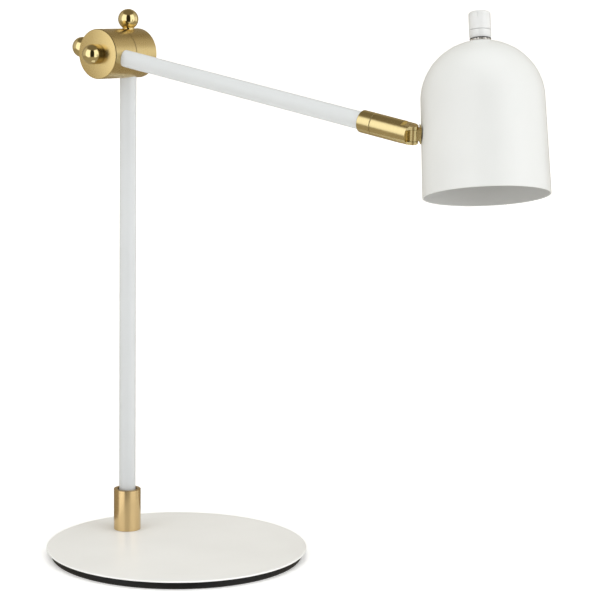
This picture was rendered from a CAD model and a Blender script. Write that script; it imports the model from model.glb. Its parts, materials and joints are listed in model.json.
"""Swing arm desk lamp: finished surfaces and a studio stage around its frame.

Every piece that shows is a smooth, edge-broken mesh in the place of its plain
node, with its own finish. Lengths are metres and the frame's +Z is up.
"""

import json
import math

import bmesh
import bpy
from mathutils import Matrix, Vector


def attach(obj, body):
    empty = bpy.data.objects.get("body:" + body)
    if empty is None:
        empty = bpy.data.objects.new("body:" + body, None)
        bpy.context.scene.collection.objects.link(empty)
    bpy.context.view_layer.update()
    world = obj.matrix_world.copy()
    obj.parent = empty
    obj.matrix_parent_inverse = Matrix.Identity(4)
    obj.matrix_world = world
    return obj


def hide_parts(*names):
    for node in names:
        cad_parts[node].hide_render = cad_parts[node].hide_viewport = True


bl_info = {
    "name": "Swing Arm Desk Lamp",
    "version": (1, 0, 0),
    "blender": (4, 5, 0),
    "location": "View3D > Sidebar > Desk Lamp",
    "description": "Builds the finished surfaces of a swing arm desk lamp around its frame",
    "category": "Object",
}

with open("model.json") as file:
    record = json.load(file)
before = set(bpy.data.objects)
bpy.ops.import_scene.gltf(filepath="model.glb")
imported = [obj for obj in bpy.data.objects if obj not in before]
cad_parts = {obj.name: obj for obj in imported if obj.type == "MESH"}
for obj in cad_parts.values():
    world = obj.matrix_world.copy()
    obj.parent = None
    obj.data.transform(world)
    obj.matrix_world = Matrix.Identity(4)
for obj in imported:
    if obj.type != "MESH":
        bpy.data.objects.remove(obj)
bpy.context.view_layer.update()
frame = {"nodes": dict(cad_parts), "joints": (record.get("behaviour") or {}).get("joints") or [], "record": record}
MM = 0.001
JOINTS = {joint["name"]: joint for joint in frame["joints"]}


# ---------------------------------------------------------------- places


def axes_at(origin, along_x, along_z):
    """The matrix of a frame with its origin, X and Z in the row's frame."""
    x, z = Vector(along_x).normalized(), Vector(along_z).normalized()
    y = z.cross(x)
    turn = Matrix((x, y, z)).transposed().to_4x4()
    return Matrix.Translation(origin) @ turn


def joint_point(name):
    return Vector(JOINTS[name]["pos_m"])


def joint_axis(name):
    return Vector(JOINTS[name]["axis"])


def spin_frame(place, axis):
    """The place turned so that its Z lies along its own axis, a letter with a sign."""
    turns = {
        "+Z": Matrix.Identity(4),
        "+X": Matrix.Rotation(math.pi / 2, 4, "Y"),
        "-X": Matrix.Rotation(-math.pi / 2, 4, "Y"),
        "+Y": Matrix.Rotation(-math.pi / 2, 4, "X"),
        "-Y": Matrix.Rotation(math.pi / 2, 4, "X"),
    }
    return place @ turns[axis]


POST = Matrix.Translation(joint_point("post_swing"))
DRUM = Matrix.Translation(joint_point("arm_tilt"))
ARM_AXIS = joint_axis("barrel_roll")
ARM_UP = ARM_AXIS.cross(joint_axis("arm_tilt"))
_reach = (joint_point("barrel_roll") - joint_point("arm_tilt")).dot(ARM_AXIS)
ARM = axes_at(joint_point("barrel_roll") - ARM_AXIS * _reach, ARM_AXIS, ARM_UP)
BARREL = axes_at(joint_point("shade_pan"), ARM_AXIS, joint_axis("shade_pan"))
SWITCH = axes_at(joint_point("switch_turn"), joint_axis("shade_tilt"), joint_axis("switch_turn"))
BASE = Matrix.Identity(4)


def extent(node, place, axis):
    """How far a node's mesh reaches along an axis of a place, and its greatest radius round it."""
    turned = spin_frame(place, axis).inverted()
    points = [turned @ v.co for v in frame["nodes"][node].data.vertices]
    heights = [p.z for p in points]
    return min(heights), max(heights), max(math.hypot(p.x, p.y) for p in points)


# ---------------------------------------------------------------- settings


def length(name, description, millimetres):
    """A length property, given in millimetres."""
    return bpy.props.FloatProperty(
        name=name, description=description, default=millimetres * MM, unit="LENGTH", precision=5
    )


def colour(name, description, red, green, blue):
    """A colour property, as linear red, green and blue."""
    return bpy.props.FloatVectorProperty(
        name=name, description=description, subtype="COLOR", size=3, min=0, max=1,
        default=(red, green, blue),
    )


class LampEdges(bpy.types.PropertyGroup):
    """How far each kind of edge is broken."""

    brass: length("Brass edges", "Broken edge on the turned brass", 0.25)
    fine: length("Fine edges", "Broken edge on small screws and nuts", 0.12)
    base_rim: length("Base rim", "Rounding of the base cover's upper edge", 1.2)
    ball_fillet: length("Ball fillet", "Fillet between a ball and its neck", 0.8)


class LampShade(bpy.types.PropertyGroup):
    """The spun shade's profile, measured up from its rim."""

    wall: length("Wall", "Thickness of the sheet", 1.2)
    skirt: length("Skirt", "Height of the straight part under the dome", 84.2)
    waist: length("Waist", "Radius where the dome starts", 53.6)
    crown_gap: length("Crown gap", "How far the whole dome would rise above the hole's edge", 0.46)
    hole: length("Hole", "Radius of the hole in the crown", 7.2)


class LampColours(bpy.types.PropertyGroup):
    """The finishes' colours."""

    coat: colour("Base coat", "White powder coat of the base", 0.925, 0.93, 0.92)
    tube_coat: colour("Tube coat", "White powder coat of the post and the arm", 0.65, 0.67, 0.68)
    shade_coat: colour("Shade coat", "White powder coat of the shade", 0.71, 0.72, 0.71)
    shade_inside: colour("Shade inside", "Thinner grey-white coat inside the shade", 0.58, 0.58, 0.565)
    brass: colour("Satin brass", "Brushed and lacquered brass", 0.72, 0.565, 0.27)
    brass_dark: colour("Brass shade", "Darker streaks in the satin brass", 0.66, 0.50, 0.215)
    collar: colour("Collar brass", "Brushed brass of the post's collar", 0.69, 0.505, 0.255)
    polished: colour("Polished brass", "Balls, knob and swivel", 0.82, 0.675, 0.345)
    plastic: colour("White plastic", "Switch knob and neck", 0.71, 0.715, 0.71)
    iron: colour("Weight", "Black paint on the weight", 0.007, 0.007, 0.007)
    rubber: colour("Rubber", "Foot pad, grommet and gaskets", 0.010, 0.010, 0.010)
    nickel: colour("Nickel", "Ring nut and screw shell", 0.62, 0.60, 0.56)
    steel: colour("Steel", "Screws, nuts and washers", 0.48, 0.48, 0.48)


class LampStage(bpy.types.PropertyGroup):
    """Camera, floor and lights."""

    azimuth: bpy.props.FloatProperty(
        name="Azimuth", description="Camera's direction round the lamp", default=0.6874, subtype="ANGLE"
    )
    elevation: bpy.props.FloatProperty(
        name="Elevation", description="Camera's height above the level", default=0.1469, subtype="ANGLE"
    )
    distance: length("Distance", "Camera to the orbit's centre", 1986.1)
    orbit_height: length("Orbit height", "Height of the orbit's centre", 260)
    aim_yaw: bpy.props.FloatProperty(
        name="Aim yaw", description="Turn of the camera off the orbit's centre", default=-0.0587,
        subtype="ANGLE",
    )
    aim_pitch: bpy.props.FloatProperty(
        name="Aim pitch", description="Nod of the camera off the orbit's centre", default=-0.0055,
        subtype="ANGLE",
    )
    roll: bpy.props.FloatProperty(
        name="Roll", description="Roll of the camera", default=0.0147, subtype="ANGLE"
    )
    lens: bpy.props.FloatProperty(name="Lens", description="Focal length in millimetres", default=125.6)
    floor: colour("Floor", "Studio floor", 0.93, 0.93, 0.93)
    floor_glow: bpy.props.FloatProperty(
        name="Floor glow", description="Light of the floor's own, as on a light table", default=0.27
    )
    far_glow: bpy.props.FloatProperty(
        name="Far glow", description="Light of the floor's own beyond the lights' reach", default=0.8
    )
    soft_box: bpy.props.FloatProperty(
        name="Soft boxes", description="Brightness of the two soft boxes in reflections", default=1.45
    )
    flanks: bpy.props.FloatProperty(
        name="Flanks", description="Brightness of the room behind the soft boxes", default=0.6
    )
    panel_right: bpy.props.FloatProperty(
        name="Right panel", description="Brightness of the low panel at the lamp's right", default=0.5
    )
    rear: bpy.props.FloatProperty(
        name="Rear", description="Brightness of the room behind the lamp", default=0.35
    )
    overhead: bpy.props.FloatProperty(
        name="Overhead light", description="Power of the broad light above", default=58, subtype="POWER"
    )
    front_fill: bpy.props.FloatProperty(
        name="Front fill", description="Power of the broad light beside the camera", default=3,
        subtype="POWER",
    )
    right_fill: bpy.props.FloatProperty(
        name="Right fill", description="Power of the broad light at the lamp's right", default=11,
        subtype="POWER",
    )


# ---------------------------------------------------------------- shaders


class Tap:
    """A shader value or vector that takes part in sums and products."""

    def __init__(self, finish, socket):
        self.finish = finish
        self.socket = socket

    def _math(self, operation, first, second):
        return self.finish.node("ShaderNodeMath", {"operation": operation}, {0: first, 1: second})

    def __add__(self, other):
        return self._math("ADD", self, other)

    def __radd__(self, other):
        return self._math("ADD", other, self)

    def __sub__(self, other):
        return self._math("SUBTRACT", self, other)

    def __rsub__(self, other):
        return self._math("SUBTRACT", other, self)

    def __mul__(self, other):
        return self._math("MULTIPLY", self, other)

    def __rmul__(self, other):
        return self._math("MULTIPLY", other, self)

    def __pow__(self, other):
        return self._math("POWER", self, other)


class Finish:
    """One procedural material on a Principled shader."""

    def __init__(self, name, **plain):
        self.material = bpy.data.materials.new(name)
        self.material.use_nodes = True
        self.tree = self.material.node_tree
        self.shader = self.tree.nodes["Principled BSDF"]
        for socket, value in plain.items():
            self.shader.inputs[socket.replace("_", " ")].default_value = value

    def node(self, kind, settings=None, inputs=None, output=0):
        """A node of any kind: its settings first, then the values or links of its sockets."""
        made = self.tree.nodes.new(kind)
        for name, value in (settings or {}).items():
            setattr(made, name, value)
        for socket, value in (inputs or {}).items():
            self.put(made.inputs[socket], value)
        return Tap(self, made.outputs[output])

    def put(self, socket, value):
        """Sets a socket, or links it when the value is a Tap."""
        if isinstance(value, Tap):
            self.tree.links.new(value.socket, socket)
        else:
            socket.default_value = value

    def set(self, **values):
        for name, value in values.items():
            self.put(self.shader.inputs[name.replace("_", " ")], value)
        return self.material

    def place(self, matrix=None):
        """Object coordinates, or those of a place in the frame."""
        tap = self.node("ShaderNodeTexCoord", output="Object")
        if matrix is None:
            return tap
        return self.node(
            "ShaderNodeMapping",
            {"vector_type": "TEXTURE"},
            {"Vector": tap, "Location": matrix.to_translation(), "Rotation": matrix.to_euler()},
        )

    def noise(self, vector, scale, detail=2.0, roughness=0.5):
        return self.node(
            "ShaderNodeTexNoise",
            inputs={"Vector": vector, "Scale": scale, "Detail": detail, "Roughness": roughness},
        )

    def noise_1d(self, value, detail=2.0, roughness=0.5):
        return self.node(
            "ShaderNodeTexNoise",
            {"noise_dimensions": "1D"},
            {"W": value, "Scale": 1.0, "Detail": detail, "Roughness": roughness},
        )

    def remap(self, value, low, high, to_low, to_high):
        return self.node(
            "ShaderNodeMapRange",
            {"clamp": True},
            {"Value": value, "From Min": low, "From Max": high, "To Min": to_low, "To Max": to_high},
        )

    def mix(self, factor, first, second):
        """Between two colours, each a triple or a Tap."""
        return self.node(
            "ShaderNodeMix",
            {"data_type": "RGBA"},
            {
                "Factor": factor,
                6: first if isinstance(first, Tap) else (*first, 1),
                7: second if isinstance(second, Tap) else (*second, 1),
            },
            output=2,
        )

    def bump(self, height, distance, strength=1.0, after=None):
        inputs = {"Height": height, "Distance": distance, "Strength": strength}
        if after is not None:
            inputs["Normal"] = after
        return self.node("ShaderNodeBump", inputs=inputs)


def scaled(shade, factor):
    return tuple(min(1.0, channel * factor) for channel in shade)


def powder_coat(name, shade, roughness):
    """Satin powder coat: fine orange peel, and a faint unevenness in tone and sheen."""
    coat = Finish(name, Coat_Weight=0.15, Coat_Roughness=0.25, Specular_IOR_Level=0.5)
    spot = coat.place()
    cloud = coat.noise(spot, 14.0, 3.0)
    peel = coat.noise(spot, 620.0, 3.0, 0.55)
    pores = coat.noise(spot, 1900.0, 1.0)
    tone = coat.remap(cloud, 0.3, 0.7, 0.0, 1.0)
    base = coat.mix(tone, scaled(shade, 0.975), scaled(shade, 1.01))
    return coat.set(
        Base_Color=base,
        Roughness=coat.remap(cloud * 0.6 + peel * 0.4, 0.3, 0.7, roughness - 0.04, roughness + 0.05),
        Normal=coat.bump(peel * 0.8 + pores * 0.2, 0.00006, 0.5),
    )


def turned_brass(name, place, shade, dark, roughness, groove, strength, crown=0.0):
    """Brass turned on a lathe: fine rings round the place's Z, on faces and sides alike.

    The crown is the slope, at 1 m from the axis, of faces that the lathe left slightly domed.
    """
    brass = Finish(name, Metallic=1.0)
    spot = brass.place(place)
    split = brass.tree.nodes.new("ShaderNodeSeparateXYZ")
    brass.tree.links.new(spot.socket, split.inputs[0])
    x, y, z = (Tap(brass, split.outputs[i]) for i in range(3))
    radius = (x * x + y * y) ** 0.5
    across = radius + z
    rings = brass.noise_1d(across * (1.0 / groove), 3.0, 0.65)
    broad = brass.noise_1d(across * (0.12 / groove), 2.0)
    haze = brass.noise(brass.place(), 55.0, 3.0)
    specks = brass.noise(brass.place(), 900.0, 2.0)
    tone = brass.remap(rings * 0.45 + broad * 0.25 + haze * 0.3, 0.38, 0.66, 0.0, 1.0)
    domed = brass.bump((x * x + y * y) * (-0.5 * crown), 1.0) if crown else None
    return brass.set(
        Base_Color=brass.mix(tone, dark, shade),
        Roughness=brass.remap(haze * 0.6 + rings * 0.4, 0.3, 0.7, roughness - 0.04, roughness + 0.05),
        Normal=brass.bump(rings * 0.85 + specks * 0.15, groove * 0.05, strength, domed),
    )


def polished_brass(name, place, shade, roughness):
    """Bright brass with faint hairlines and a little handling haze."""
    brass = Finish(name, Metallic=1.0)
    spot = brass.place(place)
    split = brass.tree.nodes.new("ShaderNodeSeparateXYZ")
    brass.tree.links.new(spot.socket, split.inputs[0])
    z = Tap(brass, split.outputs[2])
    hair = brass.noise_1d(z * 4200.0, 2.0, 0.6)
    haze = brass.noise(brass.place(), 90.0, 3.0)
    return brass.set(
        Base_Color=brass.mix(brass.remap(haze, 0.3, 0.7, 0.0, 1.0), scaled(shade, 0.93), shade),
        Roughness=brass.remap(haze, 0.3, 0.7, roughness, roughness + 0.05),
        Normal=brass.bump(hair, 0.000006, 0.35),
    )


def moulded(name, shade, roughness, gloss=0.0, grain=0.00003):
    """Moulded plastic or rubber, with a fine spark grain."""
    plastic = Finish(name, Coat_Weight=gloss, Coat_Roughness=0.12)
    spot = plastic.place()
    grain_height = plastic.noise(spot, 1500.0, 2.0)
    cloud = plastic.noise(spot, 60.0, 2.0)
    tone = plastic.remap(cloud, 0.3, 0.7, 0.0, 1.0)
    return plastic.set(
        Base_Color=plastic.mix(tone, scaled(shade, 0.94), scaled(shade, 1.03)),
        Roughness=plastic.remap(cloud, 0.3, 0.7, roughness - 0.03, roughness + 0.05),
        Normal=plastic.bump(grain_height, grain, 0.6),
    )


def plated(name, shade, roughness):
    """Plated or plain steel with fine random scratches."""
    metal = Finish(name, Metallic=1.0)
    spot = metal.place()
    haze = metal.noise(spot, 130.0, 3.0)
    fine = metal.noise(spot, 2400.0, 2.0)
    return metal.set(
        Base_Color=metal.mix(metal.remap(haze, 0.3, 0.7, 0.0, 1.0), scaled(shade, 0.86), shade),
        Roughness=metal.remap(haze, 0.3, 0.7, roughness, roughness + 0.12),
        Normal=metal.bump(fine, 0.00001, 0.4),
    )


def cast_black(name, shade):
    """Painted cast iron: an uneven, slightly pebbled skin."""
    iron = Finish(name, Specular_IOR_Level=0.25)
    spot = iron.place()
    pebble = iron.noise(spot, 520.0, 4.0, 0.6)
    cloud = iron.noise(spot, 25.0, 2.0)
    return iron.set(
        Base_Color=iron.mix(cloud, scaled(shade, 0.8), scaled(shade, 1.4)),
        Roughness=iron.remap(cloud, 0.3, 0.7, 0.42, 0.56),
        Normal=iron.bump(pebble, 0.00018, 0.7),
    )


class Studio(Finish):
    """The surroundings' shader, with the same node methods as a finish."""

    def __init__(self, name):
        self.world = bpy.data.worlds.new(name)
        self.world.use_nodes = True
        self.tree = self.world.node_tree
        self.shader = self.tree.nodes["Background"]

    def direction(self):
        tap = self.node("ShaderNodeTexCoord", output="Generated")
        split = self.tree.nodes.new("ShaderNodeSeparateXYZ")
        self.tree.links.new(tap.socket, split.inputs[0])
        return tuple(Tap(self, split.outputs[i]) for i in range(3))

    def strength(self, shade, value):
        self.put(self.shader.inputs["Color"], shade)
        self.put(self.shader.inputs["Strength"], value)


FINISHES = {}


def make_finishes(colours):
    """Every finish, by the name that the pieces ask for."""
    side = spin_frame(DRUM, "+Y")
    along = spin_frame(ARM, "+X")
    FINISHES.update(
        coat=powder_coat("white_powder_coat", colours.coat, 0.38),
        tube_coat=powder_coat("white_tube_coat", colours.tube_coat, 0.36),
        shade_coat=powder_coat("white_shade_coat", colours.shade_coat, 0.36),
        shade_inside=powder_coat("white_shade_inside", colours.shade_inside, 0.5),
        drum_brass=turned_brass(
            "satin_brass_drum", side, colours.brass, colours.brass_dark, 0.27, 0.00014, 0.15, 4.0
        ),
        collar_brass=turned_brass(
            "satin_brass_collar", POST, colours.collar, scaled(colours.collar, 0.92), 0.22, 0.00012, 0.15
        ),
        swivel_brass=turned_brass(
            "brushed_brass_swivel", along, colours.polished, scaled(colours.polished, 0.9), 0.22, 0.00012, 0.2
        ),
        knuckle_brass=polished_brass("knuckle_brass", BARREL, colours.polished, 0.17),
        ball_brass=polished_brass("polished_brass", POST, colours.polished, 0.045),
        knob_brass=polished_brass("polished_brass_knob", side, colours.polished, 0.045),
        plastic=moulded("white_plastic", colours.plastic, 0.3, 0.2),
        ceramic=moulded("ivory_ceramic", (0.72, 0.69, 0.60), 0.45),
        nylon=moulded("black_nylon", (0.014, 0.014, 0.015), 0.45),
        rubber=moulded("black_rubber", colours.rubber, 0.6, 0.0, 0.00008),
        lead=moulded("lead_sheath", (0.02, 0.02, 0.02), 0.5),
        fibre=moulded("brown_fibre", (0.16, 0.08, 0.04), 0.7),
        iron=cast_black("black_cast_iron", colours.iron),
        nickel=plated("nickel_plate", colours.nickel, 0.16),
        steel=plated("zinc_steel", colours.steel, 0.28),
    )


NODE_FINISH = {
    "base_cover": "coat", "base_weight": "iron", "base_pad": "rubber", "cord_grommet": "rubber",
    "base_collar": "collar_brass", "collar_bush": "nylon", "collar_set_screw": "steel",
    "collar_screws": "steel", "base_lead": "lead", "post_tube": "tube_coat", "post_foot": "steel",
    "post_plug": "steel", "post_finial": "ball_brass", "rear_drum": "drum_brass",
    "friction_washer": "fibre", "post_lead": "lead", "clamp_knob": "knob_brass",
    "pivot_bolt": "steel", "clamp_spring_washer": "steel", "front_drum": "drum_brass",
    "arm_tube": "tube_coat", "arm_plug": "steel", "arm_finial": "ball_brass",
    "swivel_collar": "swivel_brass", "arm_lead": "lead", "swivel_barrel": "swivel_brass",
    "swivel_stud": "steel", "swivel_nut": "steel", "pivot_screws": "knuckle_brass",
    "barrel_lead": "lead", "knuckle": "knuckle_brass", "knuckle_washer": "rubber",
    "stud_washer": "steel", "stud_nut": "steel", "knuckle_lead": "lead",
    "shade_shell": "shade_coat", "holder_cap": "plastic", "crown_ring_nut": "nickel",
    "crown_gasket": "rubber", "switch_neck": "plastic", "switch_body": "ceramic",
    "holder_body": "plastic", "shell_insulator": "ceramic", "screw_shell": "nickel",
    "centre_contact": "knuckle_brass", "holder_screws": "steel", "shade_lead": "lead",
    "switch_knob": "plastic", "knob_shaft": "steel",
}


def dress_node(node):
    """Gives a CAD node its finish."""
    mesh = frame["nodes"][node].data
    mesh.materials.clear()
    mesh.materials.append(FINISHES[NODE_FINISH[node]])


# ---------------------------------------------------------------- meshes


def body_of(node):
    for body, nodes in frame["record"]["behaviour"]["bodies"].items():
        if node in nodes:
            return body
    raise ValueError(f"no body holds {node}")


def finish_piece(bm, name, node, sharp=40):
    """Makes the object of a bmesh, with its finish, on its node's body, in its node's place."""
    mesh = bpy.data.meshes.new(name)
    bm.to_mesh(mesh)
    bm.free()
    mesh.shade_smooth()
    mesh.set_sharp_from_angle(angle=math.radians(sharp))
    mesh.materials.append(FINISHES[NODE_FINISH[node]])
    piece = bpy.data.objects.new(name, mesh)
    bpy.context.scene.collection.objects.link(piece)
    weighted = piece.modifiers.new("Even Faces", "WEIGHTED_NORMAL")
    weighted.keep_sharp = True
    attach(piece, body_of(node))
    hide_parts(node)
    return piece


def break_edges(bm, width, segments=3, angle=28):
    """Bevels every edge that turns by more than the angle."""
    sharp = [e for e in bm.edges if e.is_manifold and e.calc_face_angle(0) > math.radians(angle)]
    bmesh.ops.bevel(
        bm, geom=sharp, offset=width, offset_type="OFFSET", segments=segments, profile=0.5,
        affect="EDGES", clamp_overlap=True, material=-1,
    )


def spun(outline, place, steps=128):
    """A bmesh of an outline of (radius, height) points turned once round the place's Z."""
    bm = bmesh.new()
    points = [bm.verts.new((radius, 0, height)) for radius, height in outline]
    edges = [bm.edges.new(pair) for pair in zip(points, points[1:])]
    if outline[0][0] > 0 or outline[-1][0] > 0:
        edges.append(bm.edges.new((points[-1], points[0])))
    bmesh.ops.spin(
        bm, geom=[*points, *edges], cent=(0, 0, 0), axis=(0, 0, 1), angle=2 * math.pi,
        steps=steps, use_merge=True,
    )
    bmesh.ops.remove_doubles(bm, verts=bm.verts, dist=1e-6)
    bmesh.ops.recalc_face_normals(bm, faces=bm.faces)
    bmesh.ops.transform(bm, matrix=place, verts=bm.verts)
    return bm


def arc(centre, radius, start, end, steps):
    """Points of an arc in an outline, its angles in degrees from the radius direction."""
    points = []
    for i in range(steps + 1):
        a = math.radians(start + (end - start) * i / steps)
        points.append((centre[0] + radius * math.cos(a), centre[1] + radius * math.sin(a)))
    return points


def softened(node, width, segments=3):
    """A piece from a copy of a node's mesh, with its flats joined and its edges broken."""
    bm = bmesh.new()
    bm.from_mesh(frame["nodes"][node].data)
    bmesh.ops.remove_doubles(bm, verts=bm.verts, dist=2e-6)
    bmesh.ops.dissolve_limit(
        bm, angle_limit=math.radians(0.5), use_dissolve_boundaries=False, verts=bm.verts, edges=bm.edges
    )
    break_edges(bm, width, segments)
    bmesh.ops.triangulate(bm, faces=[f for f in bm.faces if len(f.verts) > 4])
    return finish_piece(bm, f"{node}_finished", node)


# ---------------------------------------------------------------- pieces

TUBE_WALL = 1.0 * MM
WEIGHT_EDGE = 0.6 * MM
FINIAL_NECK, FINIAL_NECK_LENGTH, FINIAL_SHANK = 5.5 * MM, 4.2 * MM, 2.95 * MM
KNOB_BORE, KNOB_BORE_DEPTH = 3.05 * MM, 10 * MM      # radius and depth of the blind bore
KNOB_SEAT, KNOB_SEAT_DEPTH = 6.4 * MM, 2 * MM        # the same of the recess for the spring washer


class LAMP_OT_finishes(bpy.types.Operator):
    """Make every finish and give the hidden inner nodes theirs"""

    bl_idname = "lamp.finishes"
    bl_label = "Finishes"

    def execute(self, context):
        make_finishes(context.scene.lamp_colours)
        for node in frame["nodes"]:
            dress_node(node)
        return {"FINISHED"}


class LAMP_OT_base(bpy.types.Operator):
    """Build the base cover with its rolled edge, the weight and the pad"""

    bl_idname = "lamp.base"
    bl_label = "Base"

    def execute(self, context):
        edges = context.scene.lamp_edges
        low, high, radius = extent("base_cover", BASE, "+Z")
        rim = edges.base_rim
        outline = [(0, low), (radius - 0.2 * MM, low), (radius, low + 0.2 * MM)]
        outline += arc((radius - rim, high - rim), rim, 0, 90, 10) + [(0, high)]
        finish_piece(spun(outline, BASE, 256), "base_cover_disc", "base_cover")

        low, high, radius = extent("base_weight", BASE, "+Z")
        bevel = WEIGHT_EDGE
        outline = [
            (0, low), (radius - bevel, low), (radius, low + bevel),
            (radius, high - bevel), (radius - bevel, high), (0, high),
        ]
        finish_piece(spun(outline, BASE, 256), "base_weight_disc", "base_weight")

        low, high, radius = extent("base_pad", BASE, "+Z")
        outline = [(0, low), (radius - bevel, low), (radius, low + bevel), (radius, high), (0, high)]
        finish_piece(spun(outline, BASE, 256), "foot_pad", "base_pad")
        return {"FINISHED"}


class LAMP_OT_post(bpy.types.Operator):
    """Build the post's collar, its bush and its tube"""

    bl_idname = "lamp.post"
    bl_label = "Post"

    def execute(self, context):
        edges = context.scene.lamp_edges
        softened("base_collar", edges.brass)
        softened("collar_bush", edges.fine)
        self.tube("post_tube", POST, "+Z")
        return {"FINISHED"}

    @staticmethod
    def tube(node, place, axis):
        low, high, radius = extent(node, place, axis)
        inner = radius - TUBE_WALL
        outline = [(inner, low), (radius, low), (radius, high), (inner, high)]
        bm = spun(outline, spin_frame(place, axis), 96)
        finish_piece(bm, f"{node}_coated", node)


class LAMP_OT_drum(bpy.types.Operator):
    """Build the clamp drum's two halves, the ball finials and the clamp knob"""

    bl_idname = "lamp.drum"
    bl_label = "Clamp drum"

    def execute(self, context):
        edges = context.scene.lamp_edges
        softened("rear_drum", edges.brass)
        softened("front_drum", edges.brass)
        post = joint_point("post_swing")
        post.z = 0
        self.finial("post_finial", Matrix.Translation(post), "+Z", edges.ball_fillet)
        self.finial("arm_finial", ARM, "-X", edges.ball_fillet)
        self.clamp_knob(edges)
        return {"FINISHED"}

    @staticmethod
    def finial(node, place, axis, fillet):
        """A ball on a neck, from its node's own reach."""
        low, top, ball = extent(node, place, axis)
        centre = top - ball
        start = -math.degrees(math.acos(FINIAL_NECK / ball))
        foot = centre + ball * math.sin(math.radians(start))
        bottom = foot - FINIAL_NECK_LENGTH
        outline = [(0, low), (FINIAL_SHANK, low), (FINIAL_SHANK, bottom), (FINIAL_NECK, bottom)]
        outline += [(FINIAL_NECK, foot - fillet * 0.5)]
        outline += arc((0, centre), ball, start + 3, 90, 40)
        bm = spun([(max(r, 0), z) for r, z in outline[:-1]] + [(0, top)], spin_frame(place, axis), 96)
        finish_piece(bm, f"{node}_ball", node)

    @staticmethod
    def clamp_knob(edges):
        """A round-ended knob with a broken edge at its face."""
        low, high, radius = extent("clamp_knob", DRUM, "-Y")
        edge = edges.brass
        deep, seat = low + KNOB_BORE_DEPTH, low + KNOB_SEAT_DEPTH
        outline = [(0, deep), (KNOB_BORE, deep), (KNOB_BORE, seat), (KNOB_SEAT, seat)]
        outline += [(KNOB_SEAT, low), (radius - edge, low), (radius, low + edge)]
        outline += arc((0, high - radius), radius, 0, 90, 32)[:-1] + [(0, high)]
        finish_piece(spun(outline, spin_frame(DRUM, "-Y"), 96), "clamp_knob_round", "clamp_knob")


class LAMP_OT_arm(bpy.types.Operator):
    """Build the arm's tube and its end collar"""

    bl_idname = "lamp.arm"
    bl_label = "Arm"

    def execute(self, context):
        edges = context.scene.lamp_edges
        LAMP_OT_post.tube("arm_tube", ARM, "+X")
        softened("swivel_collar", edges.brass)
        return {"FINISHED"}


class LAMP_OT_swivel(bpy.types.Operator):
    """Build the barrel, its pivot screws, the knuckle and the stud's hardware"""

    bl_idname = "lamp.swivel"
    bl_label = "Swivel and knuckle"

    def execute(self, context):
        edges = context.scene.lamp_edges
        softened("swivel_barrel", edges.brass)
        softened("knuckle", edges.fine)
        for node in ("pivot_screws", "knuckle_washer", "stud_washer", "stud_nut"):
            softened(node, edges.fine, 2)
        return {"FINISHED"}


class LAMP_OT_shade(bpy.types.Operator):
    """Build the spun shade with its rolled rim, its crown pieces and the lampholder"""

    bl_idname = "lamp.shade"
    bl_label = "Shade"

    def execute(self, context):
        edges = context.scene.lamp_edges
        self.shell(context.scene.lamp_shade)
        for node in ("crown_ring_nut", "crown_gasket", "switch_neck", "holder_cap"):
            softened(node, edges.fine, 2)
        softened("holder_body", edges.brass)
        softened("screw_shell", edges.fine, 2)
        return {"FINISHED"}

    @staticmethod
    def dome(waist, skirt, top, hole):
        """Points of a half ellipse from the skirt's top edge to the hole in the crown."""
        steps = 48
        last = math.acos(hole / waist)
        turns = [math.radians(math.degrees(last) * i / steps) for i in range(steps + 1)]
        return [(waist * math.cos(a), skirt + (top - skirt) * math.sin(a)) for a in turns]

    def shell(self, shade):
        """The shade's wall round the switch's axis, thinly coated inside."""
        turned = SWITCH.inverted()
        points = [turned @ v.co for v in frame["nodes"]["shade_shell"].data.vertices]
        rings = {(round(math.hypot(p.x, p.y), 5), round(p.z, 5)) for p in points}
        rim, crown = min(z for _, z in rings), max(z for _, z in rings)
        mouth = max(r for r, z in rings if z < rim + 0.1 * MM)
        skirt, top = rim + shade.skirt, crown + shade.crown_gap
        half = shade.wall / 2
        outline = arc((mouth - half, rim + half), half, -180, 0, 10)
        outline += self.dome(shade.waist, skirt, top, shade.hole)
        outline += self.dome(shade.waist - shade.wall, skirt, top - shade.wall, shade.hole)[::-1]
        piece = finish_piece(spun(outline, SWITCH, 192), "shade_spun", "shade_shell")
        piece.data.materials.append(FINISHES["shade_inside"])
        for face in piece.data.polygons:
            spot = turned @ face.center
            outwards = turned.to_3x3() @ face.normal
            if outwards.x * spot.x + outwards.y * spot.y < 0 and spot.z > rim + half:
                face.material_index = 1


class LAMP_OT_switch(bpy.types.Operator):
    """Build the rotary switch's knob"""

    bl_idname = "lamp.switch"
    bl_label = "Switch knob"

    def execute(self, context):
        edges = context.scene.lamp_edges
        softened("switch_knob", edges.fine)
        return {"FINISHED"}


SENSOR_WIDTH = 36                       # millimetres
FLOOR_RADIUS = 400                      # metres
FLOOR_NEAR, FLOOR_FAR = 0.7, 3.5        # metres over which the floor's glow grows
GAP_LEFT, GAP_RIGHT = 0.37, 0.47        # half widths of the dark gap by the camera, in radians
GAP_SOFTNESS = 0.07                     # how far its edges blur, in radians
BOX_ENDS = (1.25, 1.5)                  # where the soft boxes fade out, in radians from the camera
FLANK_ENDS = (2.0, 2.4)                 # where the flanks fade out
BOX_TOP = (0.66, 0.8)                   # where the walls end above, as the sine of the height
LOW_TURN, LOW_ENDS = (0.9, 1.4), (-0.5, -0.2)    # where the walls end below, at front and sides
LOW_SOFTNESS = 0.09
PANEL_START, PANEL_END = (1.5, 1.65), (1.95, 2.15)    # the right panel's sides
PANEL_TOP, PANEL_FOOT = (0.2, 0.42), (-0.35, -0.15)
GAP_LIGHT, CEILING_LIGHT, BELOW_LIGHT = 0.03, 0.2, 0.4
WARM_SHADE, WHITE = (1.0, 0.86, 0.62), (1.0, 1.0, 1.0)
DAYLIGHT = (0.95, 0.98, 1.0)


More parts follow.
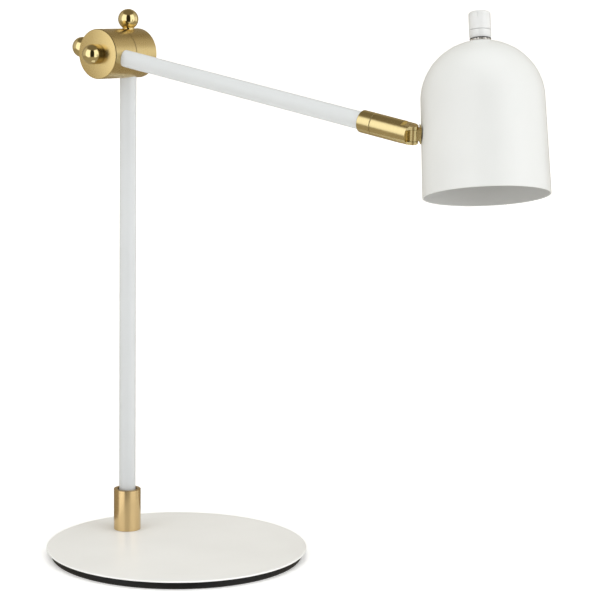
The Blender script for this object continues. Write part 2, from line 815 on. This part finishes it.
class LAMP_OT_stage(bpy.types.Operator):
    """Set the floor, the soft lights and the camera"""

    bl_idname = "lamp.stage"
    bl_label = "Stage"

    def execute(self, context):
        stage = context.scene.lamp_stage
        self.floor(stage)
        self.world(stage)
        self.lights(stage)
        self.camera(context, stage)
        context.scene.view_settings.view_transform = "Standard"
        return {"FINISHED"}

    @staticmethod
    def floor(stage):
        bm = bmesh.new()
        bmesh.ops.create_circle(bm, cap_ends=True, radius=FLOOR_RADIUS, segments=128)
        mesh = bpy.data.meshes.new("studio_floor")
        bm.to_mesh(mesh)
        bm.free()
        paint = Finish("studio_floor")
        cloud = paint.noise(paint.place(), 0.6, 2.0)
        reach = paint.node(
            "ShaderNodeVectorMath", {"operation": "LENGTH"}, {0: paint.place()}, output="Value"
        )
        glow = paint.remap(reach, FLOOR_NEAR, FLOOR_FAR, 0.0, 1.0)
        mesh.materials.append(
            paint.set(
                Base_Color=paint.mix(cloud, scaled(stage.floor, 0.99), stage.floor),
                Roughness=0.8,
                Emission_Color=paint.mix(glow, (stage.floor_glow,) * 3, (stage.far_glow,) * 3),
                Emission_Strength=1.0,
            )
        )
        floor = bpy.data.objects.new("studio_floor", mesh)
        bpy.context.scene.collection.objects.link(floor)
        floor.visible_glossy = False

    @staticmethod
    def world(stage):
        """The room in reflections: a soft box at each side of a dark gap, dim walls and a warm ceiling."""
        studio = Studio("studio")
        x, y, z = studio.direction()
        a = stage.azimuth
        ahead = x * math.sin(a) - y * math.cos(a)
        side = x * math.cos(a) + y * math.sin(a)
        around = studio.node("ShaderNodeMath", {"operation": "ARCTAN2"}, {0: side, 1: ahead})
        away = studio.node("ShaderNodeMath", {"operation": "ABSOLUTE"}, {0: around})
        right = studio.remap(around, -0.02, 0.02, 0.0, 1.0)
        gap = studio.remap(right, 0.0, 1.0, GAP_LEFT, GAP_RIGHT)
        lit = studio.remap(away - gap, -GAP_SOFTNESS, GAP_SOFTNESS, 0.0, 1.0)
        box = studio.remap(away, *BOX_ENDS, 1.0, 0.0)
        flank = studio.remap(away, *FLANK_ENDS, 1.0, 0.0)
        walls = box * stage.soft_box + (1 - box) * (flank * (stage.flanks - stage.rear) + stage.rear)
        level = lit * walls + (1 - lit) * GAP_LIGHT
        low = studio.remap(away, *LOW_TURN, *LOW_ENDS)
        above_low = studio.remap(z - low, -LOW_SOFTNESS, LOW_SOFTNESS, 0.0, 1.0)
        height = studio.remap(z, *BOX_TOP, 1.0, 0.0) * above_low
        beyond = studio.remap(z, -0.6, 0.8, BELOW_LIGHT, CEILING_LIGHT)
        level = level * height + (1 - height) * beyond
        panel = right * studio.remap(away, *PANEL_START, 0.0, 1.0) * studio.remap(away, *PANEL_END, 1.0, 0.0)
        panel = panel * studio.remap(z, *PANEL_TOP, 1.0, 0.0) * studio.remap(z, *PANEL_FOOT, 0.0, 1.0)
        level = level + panel * stage.panel_right
        tint = studio.mix(studio.remap(level, 0.3, 0.9, 0.0, 1.0), WARM_SHADE, WHITE)
        seen = studio.node("ShaderNodeLightPath", output="Is Camera Ray")
        studio.strength(studio.mix(seen, tint, WHITE), level * (1 - seen) + seen)
        bpy.context.scene.world = studio.world

    @staticmethod
    def broad_light(name, power, size, place, target):
        """A broad soft light that evens out the white coats and stays out of the reflections."""
        data = bpy.data.lights.new(name, "AREA")
        data.shape, data.size, data.energy = "DISK", size, power
        light = bpy.data.objects.new(name, data)
        away = Vector(place) - Vector(target)
        light.matrix_world = Matrix.Translation(place) @ away.to_track_quat("Z", "Y").to_matrix().to_4x4()
        light.visible_glossy = False
        data.color = DAYLIGHT
        bpy.context.scene.collection.objects.link(light)

    def lights(self, stage):
        centre = (0, 0, stage.orbit_height)
        a = stage.azimuth
        self.broad_light("overhead", stage.overhead, 3.0, (0.3, -0.2, 3.0), centre)
        front = Vector((math.sin(a - 0.25), -math.cos(a - 0.25), 0.45)) * 3.0
        self.broad_light("front_fill", stage.front_fill, 2.4, front, centre)
        right = Vector((math.sin(a + 1.2), -math.cos(a + 1.2), 0.25)) * 2.6
        self.broad_light("right_fill", stage.right_fill, 2.0, right, centre)

    @staticmethod
    def camera(context, stage):
        a, e = stage.azimuth, stage.elevation
        back = Vector((math.sin(a) * math.cos(e), -math.cos(a) * math.cos(e), math.sin(e)))
        data = bpy.data.cameras.new("camera")
        data.lens, data.sensor_width = stage.lens, SENSOR_WIDTH
        data.clip_start, data.clip_end = 0.05, 100
        camera = bpy.data.objects.new("camera", data)
        yaw, pitch = a + stage.aim_yaw, -e + stage.aim_pitch
        look = (
            Matrix.Rotation(yaw, 4, "Z")
            @ Matrix.Rotation(pitch + math.pi / 2, 4, "X")
            @ Matrix.Rotation(stage.roll, 4, "Z")
        )
        centre = Vector((0, 0, stage.orbit_height))
        camera.matrix_world = Matrix.Translation(centre + back * stage.distance) @ look
        context.scene.collection.objects.link(camera)
        context.scene.camera = camera


OPERATORS = (
    LAMP_OT_finishes, LAMP_OT_base, LAMP_OT_post, LAMP_OT_drum, LAMP_OT_arm,
    LAMP_OT_swivel, LAMP_OT_shade, LAMP_OT_switch, LAMP_OT_stage,
)


class LAMP_PT_panel(bpy.types.Panel):
    """The lamp's pieces and their settings"""

    bl_idname = "LAMP_PT_panel"
    bl_label = "Desk Lamp"
    bl_space_type = "VIEW_3D"
    bl_region_type = "UI"
    bl_category = "Desk Lamp"

    def draw(self, context):
        scene = context.scene
        for group in (scene.lamp_edges, scene.lamp_shade, scene.lamp_colours, scene.lamp_stage):
            box = self.layout.box()
            for name in group.bl_rna.properties.keys():
                if name not in ("rna_type", "name"):
                    box.prop(group, name)
        for operator in OPERATORS:
            self.layout.operator(operator.bl_idname)


CLASSES = (LampEdges, LampShade, LampColours, LampStage, *OPERATORS, LAMP_PT_panel)


def register():
    for cls in CLASSES:
        bpy.utils.register_class(cls)
    bpy.types.Scene.lamp_edges = bpy.props.PointerProperty(type=LampEdges)
    bpy.types.Scene.lamp_shade = bpy.props.PointerProperty(type=LampShade)
    bpy.types.Scene.lamp_colours = bpy.props.PointerProperty(type=LampColours)
    bpy.types.Scene.lamp_stage = bpy.props.PointerProperty(type=LampStage)


def unregister():
    for name in ("lamp_edges", "lamp_shade", "lamp_colours", "lamp_stage"):
        delattr(bpy.types.Scene, name)
    for cls in reversed(CLASSES):
        bpy.utils.unregister_class(cls)


def main():
    register()
    for operator in OPERATORS:
        group, name = operator.bl_idname.split(".")
        getattr(getattr(bpy.ops, group), name)()


if __name__ == "__main__":
    main()
